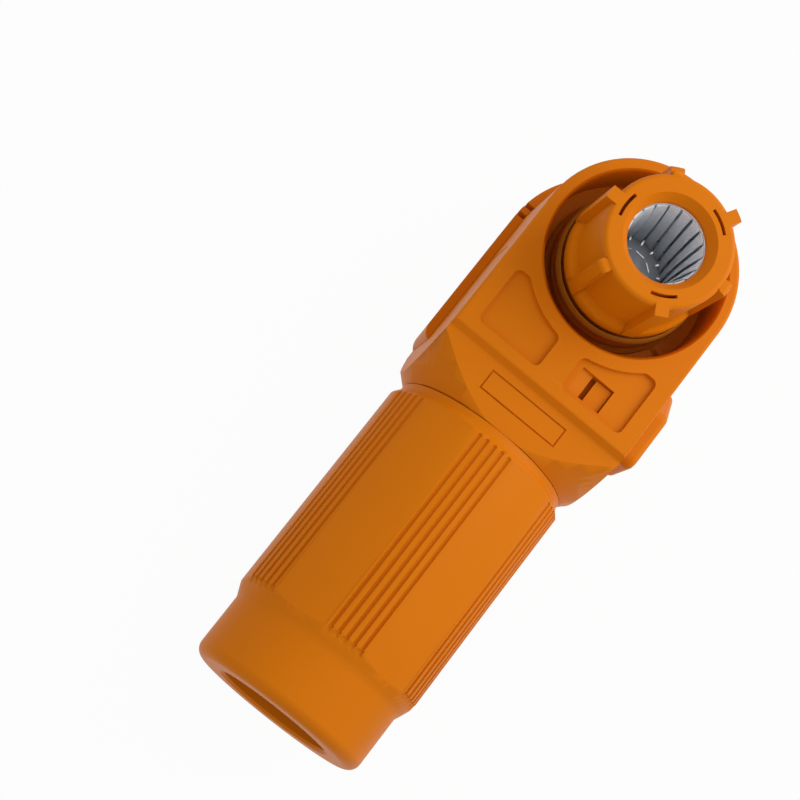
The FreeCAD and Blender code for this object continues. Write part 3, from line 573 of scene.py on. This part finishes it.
def make_lamps():
    """The key lamp above the button's side, and a faint one low on the side across from it."""
    settings = bpy.context.scene.plug_stage
    make_lamp("key", KEY_PLACE, KEY_SIZE, settings.key)
    make_lamp("rim", RIM_PLACE, RIM_SIZE, settings.rim)


def make_camera():
    """The camera above the socket, turned so that the cable end points down to the left."""
    settings = bpy.context.scene.plug_stage
    lens = bpy.data.cameras.new("camera")
    lens.sensor_width = SENSOR_WIDTH
    lens.lens = settings.lens
    lens.clip_start = NEAREST
    camera = bpy.data.objects.new("camera", lens)
    bpy.context.collection.objects.link(camera)
    level = math.cos(CAMERA_ELEVATION)
    away = Vector((level * math.cos(CAMERA_AZIMUTH), level * math.sin(CAMERA_AZIMUTH),
                   math.sin(CAMERA_ELEVATION)))
    turn = (-away).to_track_quat("-Z", "Y") @ Quaternion((0, 0, 1), CAMERA_ROLL)
    camera.matrix_world = Matrix.LocRotScale(AIM + away * CAMERA_DISTANCE, turn, None)
    bpy.context.scene.camera = camera


# Operators, one for each group of like pieces


class PLUG_OT_casings(bpy.types.Operator):
    """Dresses the orange casing: body, cover, crown, nut, lock slide and button"""
    bl_idname = "plug.casings"
    bl_label = "Casings"

    def execute(self, context):
        plastic = moulded_polyamide()
        bodies = {"housing": "body", "rear_cover": "body", "crown_insulator": "body",
                  "gland_nut": "nut", "lock_slide": "slide", "release_button": "slide"}
        for node, body in bodies.items():
            dressed(node, plastic, body)
        return {"FINISHED"}


class PLUG_OT_contacts(bpy.types.Operator):
    """Dresses the current path: socket, its spring cage and foot, and crimp terminal"""
    bl_idname = "plug.contacts"
    bl_label = "Contacts"

    def execute(self, context):
        metal = context.scene.plug_metal
        # both finishes darken towards the socket's foot: painted shade for the deep bore
        turned = plated_metal("silver_plated_copper", metal.silver, rough=0.44,
                              stretch=AROUND_Z, dark_z=SOCKET_PAINTED_SHADE)
        rolled = plated_metal("silver_plated_spring_copper", metal.silver, rough=0.82,
                              stretch=ALONG_Z, dark_z=BLADE_PAINTED_SHADE)
        tin = plated_metal("tin_plated_copper", metal.tin, rough=0.38, stretch=AROUND_X)
        dressed("socket_contact", turned, "body")
        bright = plated_metal("silver_plated_copper_coined", metal.silver, rough=0.3,
                              stretch=ALONG_Z)
        new_piece(foot_flats(), "foot_flats", bright, "body")
        cage = new_piece(spring_cage(), "spring_cage", rolled, "body")
        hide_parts("lamella_cage")
        dressed("crimp_terminal", tin, "body")
        return {"FINISHED"}


class PLUG_OT_fasteners(bpy.types.Operator):
    """Dresses the steel pieces: terminal screw, its washer and the return springs"""
    bl_idname = "plug.fasteners"
    bl_label = "Screw and springs"

    def execute(self, context):
        zinc = plated_metal("zinc_plated_steel", context.scene.plug_metal.zinc, rough=0.32,
                            stretch=AROUND_Z)
        for node in ("terminal_screw", "spring_washer"):
            dressed(node, zinc, "body")
        for node in ("return_spring_near", "return_spring_far"):
            spring = new_piece(return_spring(node), node + "_coil", zinc, "body")
            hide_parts(node)
            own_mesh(spring)
        return {"FINISHED"}


class PLUG_OT_seals(bpy.types.Operator):
    """Dresses the silicone seals"""
    bl_idname = "plug.seals"
    bl_label = "Seals"

    def execute(self, context):
        rubber = silicone_rubber()
        for node in ("interface_seal", "cable_seal", "cover_gasket"):
            dressed(node, rubber, "body")
        ring = new_piece(neck_ring("neck_o_ring"), "neck_ring", rubber, "body")
        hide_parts("neck_o_ring")
        return {"FINISHED"}


class PLUG_OT_clamp(bpy.types.Operator):
    """Dresses the black plastic pieces of the cable end: sleeve, bush, washer and claw"""
    bl_idname = "plug.clamp"
    bl_label = "Cable clamp"

    def execute(self, context):
        black = black_polyamide()
        for node in ("barrel_sleeve", "barrel_bush", "seal_washer"):
            dressed(node, black, "body")
        dressed("clamp_claw", black, "claw")
        return {"FINISHED"}


class PLUG_OT_stage(bpy.types.Operator):
    """Sets the floor, the soft light and the camera"""
    bl_idname = "plug.stage"
    bl_label = "Stage"

    def execute(self, context):
        make_floor()
        make_sky()
        make_lamps()
        make_camera()
        context.scene.view_settings.view_transform = "Standard"
        return {"FINISHED"}


# Sidebar and registration


class PLUG_PT_panel(bpy.types.Panel):
    """Buttons for the steps, and the settings that a user would change"""
    bl_idname = "PLUG_PT_panel"
    bl_label = "Plug"
    bl_space_type = "VIEW_3D"
    bl_region_type = "UI"
    bl_category = "Plug"

    def draw(self, context):
        for operator in STEPS:
            self.layout.operator(operator.bl_idname)
        for group in GROUPS:
            box = self.layout.box()
            for key in GROUPS[group].__annotations__:
                box.prop(getattr(context.scene, group), key)


GROUPS = {"plug_plastic": PlasticSettings, "plug_metal": MetalSettings,
          "plug_rubber": RubberSettings, "plug_stage": StageSettings}
STEPS = (PLUG_OT_casings, PLUG_OT_contacts, PLUG_OT_fasteners, PLUG_OT_seals, PLUG_OT_clamp,
         PLUG_OT_stage)


def register():
    for name, group in GROUPS.items():
        bpy.utils.register_class(group)
        setattr(bpy.types.Scene, name, bpy.props.PointerProperty(type=group))
    for item in (*STEPS, PLUG_PT_panel):
        bpy.utils.register_class(item)


def unregister():
    for item in (PLUG_PT_panel, *reversed(STEPS)):
        bpy.utils.unregister_class(item)
    for name, group in GROUPS.items():
        delattr(bpy.types.Scene, name)
        bpy.utils.unregister_class(group)


def main():
    register()
    bpy.ops.plug.casings()
    bpy.ops.plug.contacts()
    bpy.ops.plug.fasteners()
    bpy.ops.plug.seals()
    bpy.ops.plug.clamp()
    bpy.ops.plug.stage()


if __name__ == "__main__":
    main()
